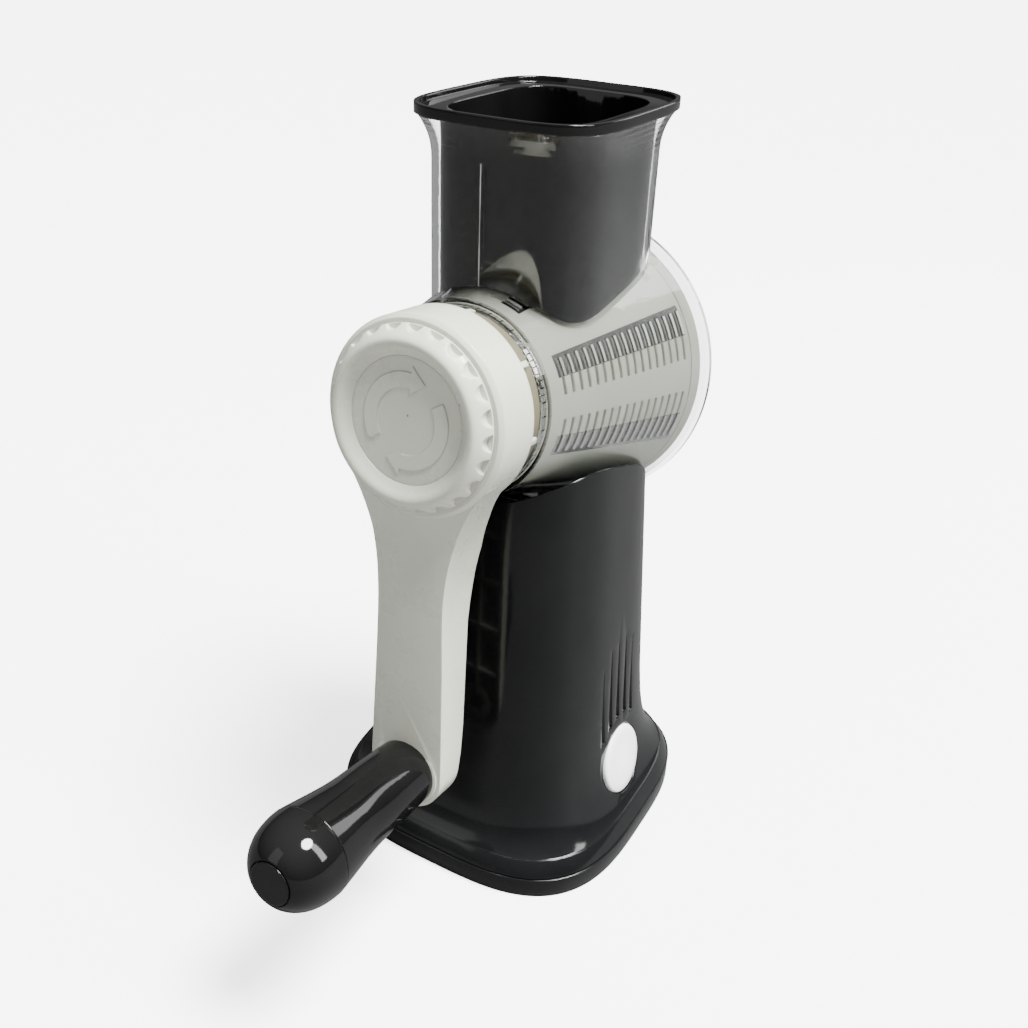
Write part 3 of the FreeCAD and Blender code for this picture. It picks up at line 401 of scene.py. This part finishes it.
def strip_cone():
    """The strips' outer radius at their front end, that end's place, and the cone's slope."""
    strips = NODES["drum_blades"]
    rings = []
    for vertex in strips.data.vertices:
        place = strips.matrix_world @ vertex.co - DRUM_MIDDLE
        along = place.dot(DRUM_LINE)
        rings.append((along, (place - along * DRUM_LINE).length))
    first = min(ring[0] for ring in rings)
    last = max(ring[0] for ring in rings)
    narrow = max(radius for along, radius in rings if along < first + NEAR_END)
    wide = max(radius for along, radius in rings if along > last - NEAR_END)
    return narrow, first, (wide - narrow) / (last - first)


def lip_section(edge, angle, cone):
    """The three corners of a lip's cross-section, at an angle round the drum."""
    radius, front, slope = cone
    outward = Vector((math.cos(angle), 0, 0)) + DRUM_UP * math.sin(angle)
    corners = []
    for back, rise in LIP_PROFILE:
        along = edge + back
        reach = radius + slope * (along - front) + rise
        corners.append(DRUM_MIDDLE + along * DRUM_LINE + reach * outward)
    return corners


def cutting_lips():
    """The turned-up edge of every tooth, running across its strip."""
    cone = strip_cone()
    points = []
    faces = []
    for number in range(SLOTS):
        edge = SLOT_FIRST + number * SLOT_PITCH + SLOT_WIDTH
        for pair in range(PAIRS):
            for side in (-1, 1):
                start = len(points)
                for step in range(LIP_STEPS + 1):
                    sweep = LIP_FROM + (LIP_TO - LIP_FROM) * step / LIP_STEPS
                    turn = PAIR_MIDDLE + side * sweep + 360 * pair / PAIRS
                    points.extend(lip_section(edge, math.radians(turn), cone))
                for step in range(LIP_STEPS):
                    low = start + 3 * step
                    faces.append((low, low + 3, low + 4, low + 1))
                    faces.append((low + 1, low + 4, low + 5, low + 2))
                    faces.append((low + 2, low + 5, low + 3, low))
                end = start + 3 * LIP_STEPS
                faces.append((start, start + 1, start + 2))
                faces.append((end + 2, end + 1, end))
    mesh = bpy.data.meshes.new("cutting_lips")
    mesh.from_pydata(points, [], faces)
    work = bmesh.new()
    work.from_mesh(mesh)
    bmesh.ops.recalc_face_normals(work, faces=work.faces)
    work.to_mesh(mesh)
    work.free()
    lips = in_place("cutting_lips", mesh, BODY_OF["drum_blades"], "blade_steel")
    # The lips take the brighter steel: partly a painted highlight on the tooth edges, beside the
    # real glints from their shape.
    lips.data.materials[0] = MATERIALS["lip_highlight_steel"]


cutting_lips()

# ---------------------------------------------------------------- stage, lights, camera


FLOOR_REACH = 6.0
FLOOR_SHOWN = 0.93
FLOOR_BOUNCE = 0.26
FLOOR_MIRRORED = 0.06
FLOOR_LIFT = 2.6


def plain(name, colour, bounce, mirrored, lift):
    """Pale studio sheet that throws less light back at the object than it shows."""
    nodes = Nodes(name)
    speckle = nodes.noise(8, 2)
    colours = nodes.ramp(speckle, "Fac", grey(0.985 * colour), grey(colour))
    path = nodes.add("ShaderNodeLightPath")
    shown = colours.outputs["Color"]
    for depth, level in (("Diffuse Depth", bounce), ("Glossy Depth", mirrored)):
        dim = nodes.add("ShaderNodeMix", data_type="RGBA")
        nodes.tree.links.new(path.outputs[depth], dim.inputs[0])
        nodes.tree.links.new(shown, dim.inputs[6])
        dim.inputs[7].default_value = grey(level)
        shown = dim.outputs[2]
    nodes.tree.links.new(shown, nodes.shader.inputs["Base Color"])
    glow = nodes.add("ShaderNodeMath", operation="MULTIPLY")
    nodes.link(path, "Is Camera Ray", glow, 0)
    glow.inputs[1].default_value = lift
    nodes.shader.inputs["Emission Color"].default_value = grey(1.0)
    nodes.link(glow, 0, nodes.shader, "Emission Strength")
    nodes.shader.inputs["Roughness"].default_value = 0.6
    return nodes.material


def floor():
    """The wide, pale sheet that the grater stands on."""
    far = FLOOR_REACH
    mesh = bpy.data.meshes.new("floor")
    corners = [(-far, -far, 0), (far, -far, 0), (far, far, 0), (-far, far, 0)]
    mesh.from_pydata(corners, [], [(0, 1, 2, 3)])
    sheet = bpy.data.objects.new("floor", mesh)
    bpy.context.scene.collection.objects.link(sheet)
    pale = plain("pale_floor", FLOOR_SHOWN, FLOOR_BOUNCE, FLOOR_MIRRORED, FLOOR_LIFT)
    sheet.data.materials.append(pale)


def softbox(name, place, aim, width, height, power):
    """A rectangular light at a place, turned towards a point."""
    light = bpy.data.lights.new(name, "AREA")
    light.shape = "RECTANGLE"
    light.size, light.size_y = width, height
    light.energy = power
    box = bpy.data.objects.new(name, light)
    bpy.context.scene.collection.objects.link(box)
    box.location = place
    box.rotation_euler = (Vector(aim) - Vector(place)).to_track_quat("-Z", "Y").to_euler()


def world(horizon, zenith, backdrop):
    """Room light that grows from the horizon to the ceiling, behind a plain pale backdrop."""
    sky = bpy.data.worlds.new("studio")
    bpy.context.scene.world = sky
    sky.use_nodes = True
    tree = sky.node_tree
    back = tree.nodes["Background"]
    back.inputs["Color"].default_value = grey(1.0)
    place = tree.nodes.new("ShaderNodeTexCoord")
    height = tree.nodes.new("ShaderNodeSeparateXYZ")
    tree.links.new(place.outputs["Generated"], height.inputs[0])
    level = tree.nodes.new("ShaderNodeMapRange")
    level.inputs["To Min"].default_value = horizon
    level.inputs["To Max"].default_value = zenith
    tree.links.new(height.outputs["Z"], level.inputs["Value"])
    path = tree.nodes.new("ShaderNodeLightPath")
    mix = tree.nodes.new("ShaderNodeMix")
    tree.links.new(path.outputs["Is Camera Ray"], mix.inputs[0])
    tree.links.new(level.outputs["Result"], mix.inputs[2])
    mix.inputs[3].default_value = backdrop
    tree.links.new(mix.outputs[0], back.inputs["Strength"])


CAMERA_PLACE = Vector((0.18756, -0.34928, 0.36336))
CAMERA_YAW = math.radians(28.93)
CAMERA_PITCH = math.radians(-29.7)
CAMERA_ROLL = math.radians(2.36)
CAMERA_LENS = 38.7


def camera():
    """A camera aimed by yaw, pitch and roll."""
    forward = Vector(
        (
            -math.sin(CAMERA_YAW) * math.cos(CAMERA_PITCH),
            math.cos(CAMERA_YAW) * math.cos(CAMERA_PITCH),
            math.sin(CAMERA_PITCH),
        )
    )
    level = Vector((math.cos(CAMERA_YAW), math.sin(CAMERA_YAW), 0))
    upward = level.cross(forward)
    right = level * math.cos(CAMERA_ROLL) + upward * math.sin(CAMERA_ROLL)
    up = upward * math.cos(CAMERA_ROLL) - level * math.sin(CAMERA_ROLL)
    data = bpy.data.cameras.new("camera")
    data.lens = CAMERA_LENS
    data.sensor_width = 36
    data.clip_start = 0.01
    view = bpy.data.objects.new("camera", data)
    bpy.context.scene.collection.objects.link(view)
    turn = Matrix((right, up, -forward)).transposed().to_4x4()
    view.matrix_world = Matrix.Translation(CAMERA_PLACE) @ turn
    bpy.context.scene.camera = view


def sun(name, direction, power, width):
    """A distant light; width is the angle in degrees that its disc fills."""
    light = bpy.data.lights.new(name, "SUN")
    light.energy = power
    light.angle = math.radians(width)
    lamp = bpy.data.objects.new(name, light)
    bpy.context.scene.collection.objects.link(lamp)
    lamp.rotation_euler = (-Vector(direction)).to_track_quat("-Z", "Y").to_euler()


SKY_HORIZON = 0.055
SKY_ZENITH = 0.7
BACKDROP = 5.2

floor()
world(SKY_HORIZON, SKY_ZENITH, BACKDROP)
sun("overhead", (0.40, 0.08, 1.0), power=14.5, width=22)
softbox("window", (0.85, 0.05, 0.75), (0, 0, 0.18), width=0.2, height=0.8, power=8)
softbox("front", (-0.5, -1.1, 0.75), (0, 0, 0.18), width=0.5, height=0.9, power=1.2)
softbox("rear", (0.4, 0.9, 0.6), (0, 0, 0.2), width=0.4, height=0.6, power=4)
camera()
